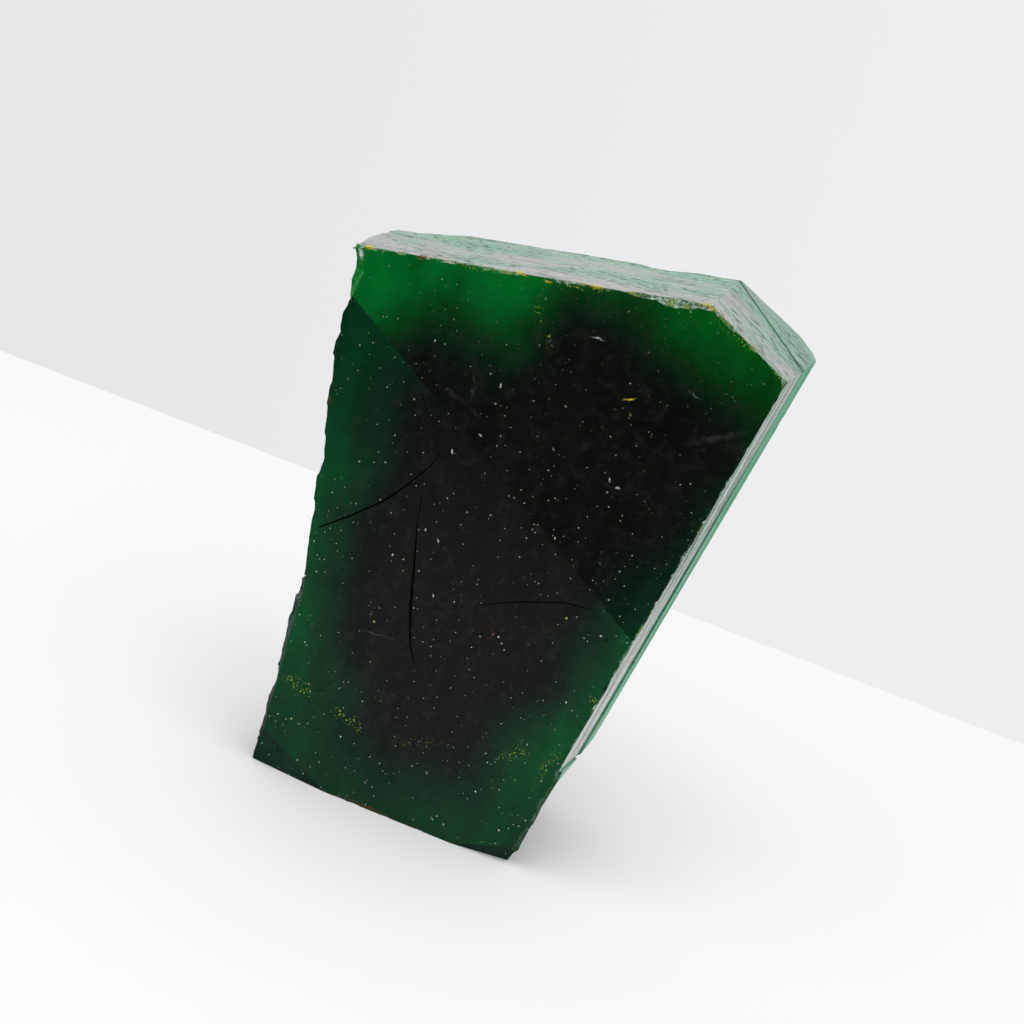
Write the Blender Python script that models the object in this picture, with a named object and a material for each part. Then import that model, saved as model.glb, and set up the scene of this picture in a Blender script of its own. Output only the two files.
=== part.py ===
"""Raw emerald crystal: a sawn block of rough standing on its narrow end.

One natural piece, so one solid. The block is first cut from a large cube by its
flat faces, each given by the way it faces and a point it passes through. What
broke away, a ledge, a saw step and many shell-shaped chips, is then taken off by
cutters. Lengths are in millimetres until they go into a mesh. +X is to the
right, +Y to the back and +Z up, with the polished face in front.
"""
import math
import random

import bmesh
import bpy
from mathutils import Matrix, Vector, noise

MM = 0.001

# Driving dimensions, in mm: corners that the flat faces pass through.
FOOT_FRONT = Vector((0.0, 0.0, 0.0))
FOOT_LEFT = Vector((-16.4, 1.2, 0.0))
FOOT_RIGHT = Vector((13.3, 1.4, 0.0))
FOOT_BACK = Vector((0.0, 20.5, 0.0))
TOP_LEFT = Vector((-26.1, 8.5, 59.1))
TOP_FRONT = Vector((-23.7, 8.6, 59.3))
PEAK = Vector((14.5, 10.8, 65.9))
PEAK_BACK = Vector((15.0, 24.0, 67.5))
SHOULDER = Vector((25.2, 10.3, 61.6))
SHOULDER_STEP = Vector((25.5, 17.0, 61.7))
SHOULDER_BACK = Vector((26.6, 22.1, 61.9))
RIDGE_TOP = Vector((-23.2, 7.6, 53.9))
RIDGE_FOOT = Vector((17.3, 4.3, 30.4))
LEFT_MARGIN_BACK = Vector((-18.5, 19.0, 40.0))
LEFT_FOOT = Vector((-18.7, 6.0, 0.0))
CUT_END = Vector((16.6, 1.6, 12.2))             # where the side saw cut runs out
RIGHT_PROW = Vector((16.85, 1.51, 10.73))       # top of the narrow edge below it
LEDGE_INNER = Vector((-18.2, 3.1, 22.4))
LEDGE_OUTER = Vector((-19.3, 6.0, 19.0))
LEDGE_FRONT = Vector((-17.6, 1.9, 13.5))

LEAN = 8.0              # degrees that the lower front face leans back
RIDGE_TURN = 3.0        # degrees between the two front faces
SAW_STEP = 0.15         # height of the step left beside the saw cuts
BLOCK_REACH = 120.0     # half the side of the cube that is cut down
SEED = 7

EMERALD_COLOUR = (0.004, 0.075, 0.028, 1.0)
EMERALD_ROUGHNESS = 0.12


def toward(azimuth, elevation):
    """Unit vector at an azimuth from +X and an elevation, in degrees."""
    a = math.radians(azimuth)
    e = math.radians(elevation)
    return Vector((math.cos(e) * math.cos(a), math.cos(e) * math.sin(a), math.sin(e)))


def flat(point, azimuth, elevation):
    """A flat face: a point on it in mm, and the way it faces."""
    return point, toward(azimuth, elevation)


def upper_front():
    """The face above the ridge, turned up a little about the ridge line."""
    lower = toward(-90.0, LEAN)
    ridge = (RIDGE_FOOT - RIDGE_TOP).normalized()
    return RIDGE_TOP, Matrix.Rotation(math.radians(-RIDGE_TURN), 3, ridge) @ lower


FRONT_LOWER = flat(FOOT_FRONT, -90.0, LEAN)
FRONT_UPPER = upper_front()
TOP = flat(TOP_FRONT, -143.4, 78.4)
SHOULDER_FACE = flat(PEAK, -17.7, 63.9)
SIDE_RIGHT = flat(SHOULDER, -6.7, -8.8)
SIDE_FLANGE = flat(SHOULDER_BACK, -6.0, -8.6)
BACK = flat(PEAK_BACK, 95.0, -0.5)
LEFT_UPPER = flat(TOP_LEFT, 165.0, -13.4)
LEFT_LEDGE = flat(LEDGE_OUTER, 180.0, -4.6)
TOE_LEFT = flat(FOOT_LEFT, -98.0, -9.0)
TOE_RIGHT = flat(FOOT_RIGHT, -76.0, -31.0)
SCAR_ROOF = flat(RIGHT_PROW, 12.0, -44.4)
SCAR_WALL = flat(RIGHT_PROW, 20.0, -11.8)
FOOT = flat(FOOT_FRONT, 0.0, -90.0)


def raised(face, height):
    """The same flat face, moved out of the stone."""
    point, normal = face
    return point + height * normal, normal


BLOCK_FACES = [
    FRONT_LOWER,
    FRONT_UPPER,
    TOP,
    raised(SHOULDER_FACE, SAW_STEP),
    SIDE_FLANGE,
    flat(SHOULDER_BACK, 25.0, -14.6),           # back, right margin
    BACK,
    flat(LEFT_MARGIN_BACK, 128.0, -11.1),       # back, left margin
    flat(FOOT_BACK, 95.0, -34.0),               # back, undercut foot
    flat(LEFT_FOOT, 180.0, -7.4),               # left, widest outline
    TOE_LEFT,
    TOE_RIGHT,
    FOOT,
]


def beyond(face):
    """The side of a flat face that is outside the stone."""
    point, normal = face
    return point, -normal


# Straight-sided cutters: what lies outside one face, ended by another.
SIDE_SAW_CUT = [beyond(SIDE_RIGHT), flat(SHOULDER_STEP, 88.0, -11.0), flat(CUT_END, 0.0, -70.0)]
SHOULDER_SAW_CUT = [beyond(SHOULDER_FACE), flat(SHOULDER_STEP, 57.0, 0.0)]
UPPER_LEFT_BREAK = [beyond(LEFT_UPPER), beyond(flat(LEDGE_INNER, 186.0, 27.0))]
LEDGE_BREAK = [beyond(LEFT_LEDGE), flat(LEDGE_INNER, 180.0, 70.0)]
RIGHT_FOOT_SCAR = [beyond(SCAR_ROOF), beyond(SCAR_WALL)]
LEDGE_FRONT_BREAK = [beyond(flat(LEDGE_FRONT, -153.0, 0.5)), flat(LEDGE_INNER, 190.0, 55.0)]

# Shell-shaped chips: the deepest point of each, the way it opens, its radius.
TOP_LEFT_CHIPS = [
    ((-24.56, 8.42, 57.2), -104.0, -4.0, 8.0),
    ((-23.95, 8.5, 53.2), 172.0, -8.0, 9.0),
    ((-25.2, 9.0, 59.1), -140.0, 50.0, 1.6),
    ((-24.1, 16.0, 60.1), 165.0, 34.0, 3.0),
    ((-23.1, 20.4, 60.9), 158.0, 26.0, 3.0),
]
TOP_EDGE_CHIPS = [
    ((11.2, 11.0, 65.0), -95.0, 40.0, 9.0),
    ((7.5, 10.7, 64.5), -100.0, 40.0, 6.0),
    ((13.6, 11.0, 65.5), -84.0, 34.0, 3.0),
    ((24.7, 10.4, 61.0), -60.0, 18.0, 2.0),
]
FOOT_CHIPS = [
    ((-17.2, 5.0, 0.7), -165.0, -34.0, 6.0),
    ((10.6, 16.8, 2.2), 44.0, -30.0, 9.0),
]
BACK_CHIPS = [
    ((-11.5, 19.4, 15.0), 122.0, -14.0, 24.0),
    ((-15.6, 16.6, 27.5), 138.0, -4.0, 16.0),
    ((2.0, 20.6, 8.5), 98.0, -22.0, 20.0),
    ((9.6, 22.0, 22.5), 86.0, -8.0, 32.0),
    ((-7.0, 21.9, 36.5), 100.0, 4.0, 36.0),
    ((-15.2, 19.6, 50.0), 118.0, 8.0, 22.0),
    ((16.4, 19.2, 34.0), 50.0, -12.0, 30.0),
    ((19.6, 22.0, 51.5), 62.0, -6.0, 26.0),
    ((6.0, 22.9, 65.2), 92.0, 40.0, 8.0),
    ((1.0, 22.6, 46.0), 95.0, 0.0, 2.4),
    ((5.6, 22.9, 51.6), 95.0, 0.0, 1.6),
]
CHIP_NOISE = 0.35           # most that a chip's surface strays from a sphere
CHIP_NOISE_RATIO = 0.05     # the same, against the chip's radius
CHIP_NOISE_LENGTH = 2.6     # distance from one bump to the next
CHIP_HEIGHT = 7.0           # how much of its sphere a cutter keeps
CHIP_FACET = 1.35           # edge length of a cutter's triangles
ICO_EDGE = 1.203            # edge of an icosphere of radius 1, one subdivision


def corner(*faces):
    """The point where three flat faces meet."""
    normals = Matrix([normal for point, normal in faces])
    reaches = Vector([point.dot(normal) for point, normal in faces])
    return normals.inverted() @ reaches


# Edges with a row of small nicks: two ends, the way the nicks open, their spacing.
TOP_CORNERS = [corner(FRONT_UPPER, TOP, LEFT_UPPER), corner(FRONT_UPPER, TOP, SHOULDER_FACE)]
SHOULDER_CORNER = corner(FRONT_UPPER, SHOULDER_FACE, SIDE_RIGHT)
RIDGE_END = corner(FRONT_UPPER, FRONT_LOWER, SIDE_RIGHT)
TOE_END = corner(FRONT_LOWER, SIDE_RIGHT, SCAR_ROOF)
FOOT_ENDS = [corner(FRONT_LOWER, FOOT, TOE_LEFT), corner(FRONT_LOWER, FOOT, TOE_RIGHT)]
BACK_CORNERS = [corner(BACK, TOP, LEFT_UPPER), corner(BACK, TOP, SHOULDER_FACE)]
NICKED_EDGES = [
    (TOP_CORNERS[0], TOP_CORNERS[1], -96.0, 44.0, 2.4),
    (TOP_CORNERS[1], SHOULDER_CORNER, -70.0, 42.0, 3.0),
    (SHOULDER_CORNER, RIDGE_END, -47.0, 0.0, 2.8),
    (RIDGE_END, TOE_END, -47.0, 0.0, 3.2),
    (FOOT_ENDS[0], FOOT_ENDS[1], -90.0, -42.0, 2.6),
    (BACK_CORNERS[0], BACK_CORNERS[1], 95.0, 44.0, 4.6),
]
NICK_BITE = (0.02, 0.14)    # how deep a nick goes behind the edge
NICK_RADIUS = (1.2, 3.0)

# Chips that cover the broken left side, in rows from foot to top.
LEFT_ROW_FIRST = 3.0
LEFT_ROW_STEP = 5.2
LEFT_ROW_LAST = 57.0
LEFT_COLUMNS = (3.2, 8.0, 13.0)     # distances behind the front edge
LEFT_BITE = (0.15, 0.75)            # how deep the chips go
LEFT_RADIUS = (6.0, 13.0)

# Open cracks on the front: points (x, z), each with half the crack's width there.
CRACKS = [
    [(-18.6, 28.0, 0.12), (-15.4, 30.7, 0.16), (-12.4, 33.6, 0.18), (-10.4, 36.4, 0.14),
     (-8.9, 38.9, 0.12), (-8.0, 41.5, 0.05)],
    [(-9.3, 38.3, 0.05), (-7.9, 31.8, 0.12), (-6.7, 27.4, 0.20), (-5.7, 23.6, 0.26),
     (-4.2, 19.3, 0.16), (-2.9, 17.4, 0.05)],
    [(1.2, 26.2, 0.05), (5.9, 28.4, 0.12), (10.6, 30.1, 0.14), (14.6, 30.6, 0.05)],
]
CRACK_DEPTH_RATIO = 2.4     # depth of a crack against half its width
CRACK_PROUD = 0.2           # how far its cutter stands out of the face


def empty_scene():
    for thing in list(bpy.data.objects):
        bpy.data.objects.remove(thing, do_unlink=True)


def link_mesh(bm, name, collection):
    """Turn a bmesh in mm into an object in metres."""
    bmesh.ops.recalc_face_normals(bm, faces=bm.faces)
    bmesh.ops.scale(bm, vec=(MM, MM, MM), verts=bm.verts)
    mesh = bpy.data.meshes.new(name)
    bm.to_mesh(mesh)
    bm.free()
    thing = bpy.data.objects.new(name, mesh)
    collection.objects.link(thing)
    return thing


def cut_from_cube(faces, name, collection):
    """The convex solid behind a list of flat faces."""
    bm = bmesh.new()
    bmesh.ops.create_cube(bm, size=2.0 * BLOCK_REACH)
    for point, normal in faces:
        everything = bm.verts[:] + bm.edges[:] + bm.faces[:]
        cut = bmesh.ops.bisect_plane(bm, geom=everything, plane_co=point,
                                     plane_no=normal, clear_outer=True)
        rim = [part for part in cut["geom_cut"] if isinstance(part, bmesh.types.BMEdge)]
        bmesh.ops.edgeloop_fill(bm, edges=rim)
    return link_mesh(bm, name, collection)


def plane_x(face, y, z):
    """The x at which a flat face passes through y, z."""
    point, normal = face
    return point.x - (normal.y * (y - point.y) + normal.z * (z - point.z)) / normal.x


def left_side_chips(rng):
    """Chips in uneven rows over the broken left side."""
    chips = []
    rows = int((LEFT_ROW_LAST - LEFT_ROW_FIRST) / LEFT_ROW_STEP) + 1
    for row in range(rows):
        for column in LEFT_COLUMNS:
            z = LEFT_ROW_FIRST + LEFT_ROW_STEP * (row + rng.uniform(-0.3, 0.3))
            y = z * math.tan(math.radians(LEAN)) + column + rng.uniform(-1.6, 1.6)
            face = LEFT_UPPER if z > LEDGE_INNER.z else LEFT_LEDGE
            x = plane_x(face, y, z) + rng.uniform(*LEFT_BITE)
            azimuth = math.degrees(math.atan2(face[1].y, face[1].x)) + rng.uniform(-16.0, 12.0)
            chips.append(((x, y, z), azimuth, rng.uniform(-16.0, 8.0),
                          rng.uniform(*LEFT_RADIUS)))
    return chips


def edge_nicks(edge, rng):
    """A row of small uneven chips along one edge."""
    start, end, azimuth, elevation, spacing = edge
    start, end = Vector(start), Vector(end)
    count = int((end - start).length / spacing)
    nicks = []
    for index in range(count):
        place = start.lerp(end, (index + rng.uniform(0.1, 0.9)) / count)
        place -= toward(azimuth, elevation) * rng.uniform(*NICK_BITE)
        nicks.append((place, azimuth + rng.uniform(-14.0, 14.0),
                      elevation + rng.uniform(-12.0, 12.0), rng.uniform(*NICK_RADIUS)))
    return nicks


def chip_cutter(name, chip, collection, rng):
    """The near cap of an uneven sphere, whose near point is the chip's deepest."""
    point, azimuth, elevation, radius = chip
    opening = toward(azimuth, elevation)
    subdivisions = 1 + max(2, round(math.log2(ICO_EDGE * radius / CHIP_FACET)))
    spin = Matrix.Rotation(rng.uniform(0.0, math.tau), 4, opening)
    bm = bmesh.new()
    bmesh.ops.create_icosphere(bm, subdivisions=subdivisions, radius=radius, matrix=spin)
    start = Vector(rng.uniform(-50.0, 50.0) for axis in range(3))
    bump = min(CHIP_NOISE, CHIP_NOISE_RATIO * radius)
    for vert in bm.verts:
        unevenness = noise.noise(start + vert.co / CHIP_NOISE_LENGTH)
        vert.co += vert.co.normalized() * bump * unevenness
        vert.co += Vector(point) + radius * opening
    if CHIP_HEIGHT < radius:
        everything = bm.verts[:] + bm.edges[:] + bm.faces[:]
        cut = bmesh.ops.bisect_plane(bm, geom=everything, plane_no=opening,
                                     plane_co=Vector(point) + CHIP_HEIGHT * opening,
                                     clear_outer=True)
        rim = [part for part in cut["geom_cut"] if isinstance(part, bmesh.types.BMEdge)]
        bmesh.ops.edgeloop_fill(bm, edges=rim)
    return link_mesh(bm, name, collection)


def front_point(x, z, out):
    """The point at x, z of the front, moved out of the stone by out."""
    depths = []
    for point, normal in (FRONT_LOWER, FRONT_UPPER):
        reach = normal.x * (point.x - x) + normal.z * (point.z - z)
        depths.append(point.y + reach / normal.y)
    return Vector((x, max(depths) - out, z))


def crack_cutter(name, stations, collection):
    """A V-shaped wedge that follows a crack and tapers at both ends."""
    bm = bmesh.new()
    rings = []
    for index, (x, z, width) in enumerate(stations):
        before = stations[max(index - 1, 0)]
        after = stations[min(index + 1, len(stations) - 1)]
        along = Vector((after[0] - before[0], 0.0, after[1] - before[1])).normalized()
        across = Vector((-along.z, 0.0, along.x)) * width
        sides = [front_point(x + across.x, z + across.z, CRACK_PROUD),
                 front_point(x - across.x, z - across.z, CRACK_PROUD),
                 front_point(x, z, -CRACK_DEPTH_RATIO * width)]
        rings.append([bm.verts.new(side) for side in sides])
    for first, second in zip(rings, rings[1:]):
        for side in range(3):
            nxt = (side + 1) % 3
            bm.faces.new((first[side], first[nxt], second[nxt], second[side]))
    bm.faces.new(rings[0])
    bm.faces.new(rings[-1])
    bmesh.ops.triangulate(bm, faces=bm.faces)
    return link_mesh(bm, name, collection)


def take_away(stone, cutters):
    cut = stone.modifiers.new("break", "BOOLEAN")
    cut.operation = "DIFFERENCE"
    cut.solver = "EXACT"
    cut.operand_type = "COLLECTION"
    cut.collection = cutters
    cut.use_self = True


def emerald_material():
    material = bpy.data.materials.new("emerald")
    material.use_nodes = True
    shader = material.node_tree.nodes["Principled BSDF"]
    shader.inputs["Base Color"].default_value = EMERALD_COLOUR
    shader.inputs["Roughness"].default_value = EMERALD_ROUGHNESS
    shader.inputs["Metallic"].default_value = 0.0
    return material


def settle(stone):
    """Apply the cuts, triangulate, and centre the stone's box over the origin."""
    graph = bpy.context.evaluated_depsgraph_get()
    shaped = bpy.data.meshes.new_from_object(stone.evaluated_get(graph))
    stone.modifiers.clear()
    stone.data = shaped
    bm = bmesh.new()
    bm.from_mesh(shaped)
    bmesh.ops.remove_doubles(bm, verts=bm.verts, dist=0.02 * MM)
    bmesh.ops.dissolve_degenerate(bm, edges=bm.edges, dist=0.02 * MM)
    bmesh.ops.triangulate(bm, faces=bm.faces)
    low = Vector(min(v.co[axis] for v in bm.verts) for axis in range(3))
    high = Vector(max(v.co[axis] for v in bm.verts) for axis in range(3))
    middle = (low + high) / 2.0
    bmesh.ops.translate(bm, vec=(-middle.x, -middle.y, -low.z), verts=bm.verts)
    bm.to_mesh(shaped)
    bm.free()


empty_scene()
rng = random.Random(SEED)
scene_collection = bpy.context.scene.collection
cutters = bpy.data.collections.new("cutters")
scene_collection.children.link(cutters)

emerald = cut_from_cube(BLOCK_FACES, "emerald_crystal", scene_collection)
cut_from_cube(SIDE_SAW_CUT, "cut_side_saw", cutters)
cut_from_cube(SHOULDER_SAW_CUT, "cut_shoulder_saw", cutters)
cut_from_cube(UPPER_LEFT_BREAK, "cut_upper_left", cutters)
cut_from_cube(LEDGE_BREAK, "cut_ledge", cutters)
cut_from_cube(LEDGE_FRONT_BREAK, "cut_ledge_front", cutters)
cut_from_cube(RIGHT_FOOT_SCAR, "cut_right_foot", cutters)
chips = left_side_chips(rng) + TOP_LEFT_CHIPS + TOP_EDGE_CHIPS + FOOT_CHIPS + BACK_CHIPS
for edge in NICKED_EDGES:
    chips += edge_nicks(edge, rng)
for number, chip in enumerate(chips):
    chip_cutter(f"cut_chip_{number:02d}", chip, cutters, rng)
for number, crack in enumerate(CRACKS):
    crack_cutter(f"cut_crack_{number}", crack, cutters)
for cutter in cutters.objects:
    cutter.hide_render = True
    cutter.display_type = "WIRE"

take_away(emerald, cutters)
settle(emerald)
emerald.data.materials.clear()
emerald.data.materials.append(emerald_material())
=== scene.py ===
import math

import bmesh
import bpy
from mathutils import Matrix, Vector, noise


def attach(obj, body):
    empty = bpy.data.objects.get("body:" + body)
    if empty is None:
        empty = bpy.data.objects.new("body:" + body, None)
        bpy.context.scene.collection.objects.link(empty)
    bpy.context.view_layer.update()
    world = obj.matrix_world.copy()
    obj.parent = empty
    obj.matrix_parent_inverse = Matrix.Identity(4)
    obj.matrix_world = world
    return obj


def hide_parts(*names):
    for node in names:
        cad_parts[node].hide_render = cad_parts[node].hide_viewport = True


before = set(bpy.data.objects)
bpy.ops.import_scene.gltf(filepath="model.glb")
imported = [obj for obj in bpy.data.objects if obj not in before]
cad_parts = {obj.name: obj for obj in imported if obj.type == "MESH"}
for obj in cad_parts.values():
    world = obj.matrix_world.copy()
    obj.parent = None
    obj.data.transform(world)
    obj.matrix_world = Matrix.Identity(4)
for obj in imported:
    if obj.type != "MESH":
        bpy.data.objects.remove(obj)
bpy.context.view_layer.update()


# ---------------------------------------------------------------------------
# The table: a sheet of matt white card laid flat, ending at a pale wall. The lamp
# is a wide white softbox above and in front, so shadows are faint, and the room on
# the near side is dark, which keeps a polished face deep.
# ---------------------------------------------------------------------------
MM = 0.001
CARD_WHITE = "F7F7F7"
WALL_WHITE = "ECECEE"
CARD_WIDTH = 1600 * MM
CARD_FRONT = -110 * MM
CARD_END = 105.7 * MM       # where the card ends at the foot of the wall


def linear(hex_colour):
    """An sRGB hex colour as a linear one with alpha."""
    shares = [int(hex_colour[i:i + 2], 16) / 255 for i in (0, 2, 4)]
    return tuple(s / 12.92 if s <= 0.04045 else ((s + 0.055) / 1.055) ** 2.4 for s in shares) + (1.0,)


def node(tree, kind, settings=None, **links):
    """Add one node: its settings, then its inputs as values or as sockets to link."""
    made = tree.nodes.new(kind)
    for name, value in (settings or {}).items():
        setattr(made, name, value)
    for name, value in links.items():
        socket = made.inputs[int(name[1:])] if name[1:].isdigit() else made.inputs[name.replace("_", " ")]
        if isinstance(value, bpy.types.NodeSocket):
            tree.links.new(value, socket)
        else:
            socket.default_value = value
    return made


def empty_material(name):
    made = bpy.data.materials.new(name)
    made.use_nodes = True
    made.node_tree.nodes.clear()
    return made


bpy.ops.object.select_all(action="DESELECT")
bpy.ops.mesh.primitive_plane_add(size=1, location=(0, (CARD_FRONT + CARD_END) / 2, 0))
card = bpy.context.object
card.name = "card_floor"
card.scale = (CARD_WIDTH, CARD_END - CARD_FRONT, 1)
bpy.ops.object.transform_apply(location=True, rotation=False, scale=True)
card_white = empty_material("matt white card")
tree = card_white.node_tree
card_shader = node(tree, "ShaderNodeBsdfPrincipled", Base_Color=linear(CARD_WHITE), Roughness=0.9)
node(tree, "ShaderNodeOutputMaterial", Surface=card_shader.outputs[0])
card.data.materials.append(card_white)
card.visible_glossy = False

world = bpy.data.worlds.new("pale room")
bpy.context.scene.world = world
world.use_nodes = True
tree = world.node_tree
tree.nodes.clear()
direction = node(tree, "ShaderNodeTexCoord")
apart = node(tree, "ShaderNodeSeparateXYZ", i0=direction.outputs["Generated"])
# How bright the dark half of the room is, from the floor up to the softbox.
height = node(tree, "ShaderNodeMapRange", Value=apart.outputs["Z"], From_Min=-1.0, From_Max=1.0)
dark_half = node(tree, "ShaderNodeValToRGB", i0=height.outputs[0])
ROOM_STEPS = [(-0.60, 0.03), (-0.14, 0.16), (-0.087, 0.17), (-0.047, 0.14), (0.026, 0.05), (0.105, 0.02),
              (0.174, 0.01), (0.35, 0.10), (0.60, 0.90), (1.00, 1.20)]
ROOM_BRIGHT = 0.95
steps = dark_half.color_ramp.elements
while len(steps) < len(ROOM_STEPS):
    steps.new(0.5)
for step, (z, light) in zip(steps, ROOM_STEPS):
    step.position = (z + 1.0) / 2.0
    step.color = (light, light, light, 1.0)
side = node(tree, "ShaderNodeMapRange", {"interpolation_type": "SMOOTHSTEP"}, Value=apart.outputs["Y"],
            From_Min=-0.75, From_Max=0.15)
above_table = node(tree, "ShaderNodeMapRange", {"interpolation_type": "SMOOTHSTEP"}, Value=apart.outputs["Z"],
                   From_Min=-0.30, From_Max=-0.05)
side_share = node(tree, "ShaderNodeMath", {"operation": "MULTIPLY"}, i0=side.outputs[0], i1=above_table.outputs[0])
bright_half = node(tree, "ShaderNodeMixRGB", i0=side_share.outputs[0], i1=dark_half.outputs[0],
                   i2=(ROOM_BRIGHT, ROOM_BRIGHT, ROOM_BRIGHT, 1.0))
wall_colour = linear(WALL_WHITE)
lit = node(tree, "ShaderNodeBackground", i0=bright_half.outputs[0], Strength=1.0)
shade = node(tree, "ShaderNodeMapRange", Value=apart.outputs["X"], From_Min=-0.45, From_Max=0.0, To_Min=0.925,
             To_Max=1.03)
seen = node(tree, "ShaderNodeBackground", i0=wall_colour, Strength=shade.outputs[0])
path = node(tree, "ShaderNodeLightPath")
mixed = node(tree, "ShaderNodeMixShader", i0=path.outputs["Is Camera Ray"], i1=lit.outputs[0], i2=seen.outputs[0])
node(tree, "ShaderNodeOutputWorld", Surface=mixed.outputs[0])

bpy.ops.object.light_add(type="AREA", location=(-0.02, -0.19, 0.42))
softbox = bpy.context.object
softbox.name = "softbox"
softbox.data.shape = "RECTANGLE"
softbox.data.size = 0.50
softbox.data.size_y = 0.30
softbox.data.energy = 0.54
softbox.rotation_euler = (Vector((0, 0.0, 0.0)) - softbox.location).to_track_quat("-Z", "Y").to_euler()

LENS = 85.0
CAMERA_AZIMUTH, CAMERA_ELEVATION, CAMERA_ROLL = 8.7, 15.6, 18.6
CAMERA_DISTANCE = 280 * MM
CAMERA_AIM = Vector((-0.506, 3.266, 34.5)) * MM

azimuth, elevation, roll = (math.radians(a) for a in (CAMERA_AZIMUTH, CAMERA_ELEVATION, CAMERA_ROLL))
back = Vector((math.sin(azimuth) * math.cos(elevation), -math.cos(azimuth) * math.cos(elevation),
               math.sin(elevation)))
right = Vector((math.cos(azimuth), math.sin(azimuth), 0.0))
up = back.cross(right)
across = right * math.cos(roll) + up * math.sin(roll)
along = -right * math.sin(roll) + up * math.cos(roll)
bpy.ops.object.camera_add()
camera = bpy.context.object
camera.name = "camera"
camera.matrix_world = Matrix((across, along, back)).transposed().to_4x4()
camera.location = CAMERA_AIM + CAMERA_DISTANCE * back
camera.data.lens = LENS
camera.data.sensor_width = 36.0
camera.data.clip_start = 1 * MM
camera.data.clip_end = 10.0
bpy.context.scene.camera = camera
bpy.context.scene.view_settings.view_transform = "Standard"


# ---------------------------------------------------------------------------
# The stone: one block of emerald rough. Its front is lapped and polished in two
# planes, its top, corner and right side are sawn and left frosted, and its left
# side and back are as they broke. Sawing and knocks have crushed its sharp edges.
# ---------------------------------------------------------------------------
def toward(azimuth, elevation):
    a, e = math.radians(azimuth), math.radians(elevation)
    return Vector((math.cos(e) * math.cos(a), math.cos(e) * math.sin(a), math.sin(e)))


POLISHED, SAWN, FLANGE, STEP, FOOT, BROKEN, CRACK = range(7)
# Every flat face: how it is finished, and the way it faces.
FLATS = {
    "lower front": (POLISHED, -90.0, 8.0),
    "upper front": (POLISHED, -88.46, 10.59),
    "left toe": (POLISHED, -98.0, -9.0),
    "right toe": (POLISHED, -76.0, -31.0),
    "top": (SAWN, -143.4, 78.4),
    "shoulder": (SAWN, -17.7, 63.9),
    "side": (SAWN, -6.7, -8.8),
    "flange": (FLANGE, -6.0, -8.6),
    "side step": (STEP, -92.0, 11.0),
    "side cut end": (FLANGE, 180.0, 70.0),
    "shoulder step": (STEP, -123.0, 0.0),
    "foot": (FOOT, 0.0, -90.0),
}
FRONTS = ("lower front", "upper front")
SAWN_SIDES = ("top", "shoulder", "side")
FLAT_TOLERANCE = math.cos(math.radians(0.25))
FLANGE_END = 10.5           # mm up the right side where its frosted face ends
IN_PLANE = 0.02             # mm that a sliver's corners may lie off its flat's plane
EDGE_LENGTHS = {POLISHED: 0.9, SAWN: 0.9, FLANGE: 0.9, STEP: 0.9, FOOT: 3.0, BROKEN: 0.5, CRACK: 0.5}   # mm
CRUSH_REACH = 0.35          # mm from a sawn edge that its crushed nicks reach
CRUSH_STEP = 0.4            # mm between the points that shape them


def open_for_editing(thing):
    bpy.ops.object.select_all(action="DESELECT")
    thing.select_set(True)
    bpy.context.view_layer.objects.active = thing
    bpy.ops.object.mode_set(mode="EDIT")
    bpy.ops.mesh.select_all(action="SELECT")


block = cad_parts["emerald_crystal"]
stone = bpy.data.objects.new("emerald_stone", block.data.copy())
stone.data.materials.clear()
bpy.context.scene.collection.objects.link(stone)
open_for_editing(stone)
bpy.ops.mesh.remove_doubles(threshold=0.002 * MM)
bpy.ops.mesh.customdata_custom_splitnormals_clear()
bpy.ops.mesh.dissolve_limited(angle_limit=math.radians(0.3))
bpy.ops.mesh.quads_convert_to_tris(quad_method="BEAUTY", ngon_method="BEAUTY")
bpy.ops.object.mode_set(mode="OBJECT")

mesh = stone.data
bm = bmesh.new()
bm.from_mesh(mesh)
zone = bm.faces.layers.int.new("zone")
front_part = bm.faces.layers.int.new("upper")
ways = {name: toward(a, e) for name, (kind, a, e) in FLATS.items()}
planes = {}
for face in bm.faces:
    face[zone] = BROKEN
    for name, way in ways.items():
        if face.normal.dot(way) > FLAT_TOLERANCE:
            face[zone] = FLATS[name][0]
            face[front_part] = int(name == "upper front")
            if name not in planes or face.calc_area() > planes[name][0]:
                planes[name] = (face.calc_area(), face.calc_center_median(), way)
# Each plane as its direction and its height along it, in mm.
heights = {name: centre.dot(way) / MM for name, (area, centre, way) in planes.items()}

# Slivers left by the cuts belong to the flat that they lie in, whichever way they face.
for face in bm.faces:
    for name in heights:
        if face[zone] == BROKEN and face.normal.dot(ways[name]) > 0.0:
            if all(abs(vert.co.dot(ways[name]) / MM - heights[name]) < IN_PLANE for vert in face.verts):
                face[zone] = FLATS[name][0]
                face[front_part] = int(name == "upper front")
# Below the end of the saw cut the side is broken, although it lies in the same plane.
for face in bm.faces:
    if face[zone] == FLANGE and face.calc_center_median().z < FLANGE_END * MM:
        face[zone] = BROKEN

# A groove whose rim is polished all the way round is an open crack, not a chip.
todo = {face for face in bm.faces if face[zone] == BROKEN}
while todo:
    patch, edge_of_patch = [], [todo.pop()]
    neighbours = set()
    while edge_of_patch:
        face = edge_of_patch.pop()
        patch.append(face)
        for edge in face.edges:
            for other in edge.link_faces:
                if other in todo:
                    todo.discard(other)
                    edge_of_patch.append(other)
                elif other[zone] != BROKEN:
                    neighbours.add(other[zone])
    if neighbours == {POLISHED}:
        for face in patch:
            face[zone] = CRACK

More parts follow.
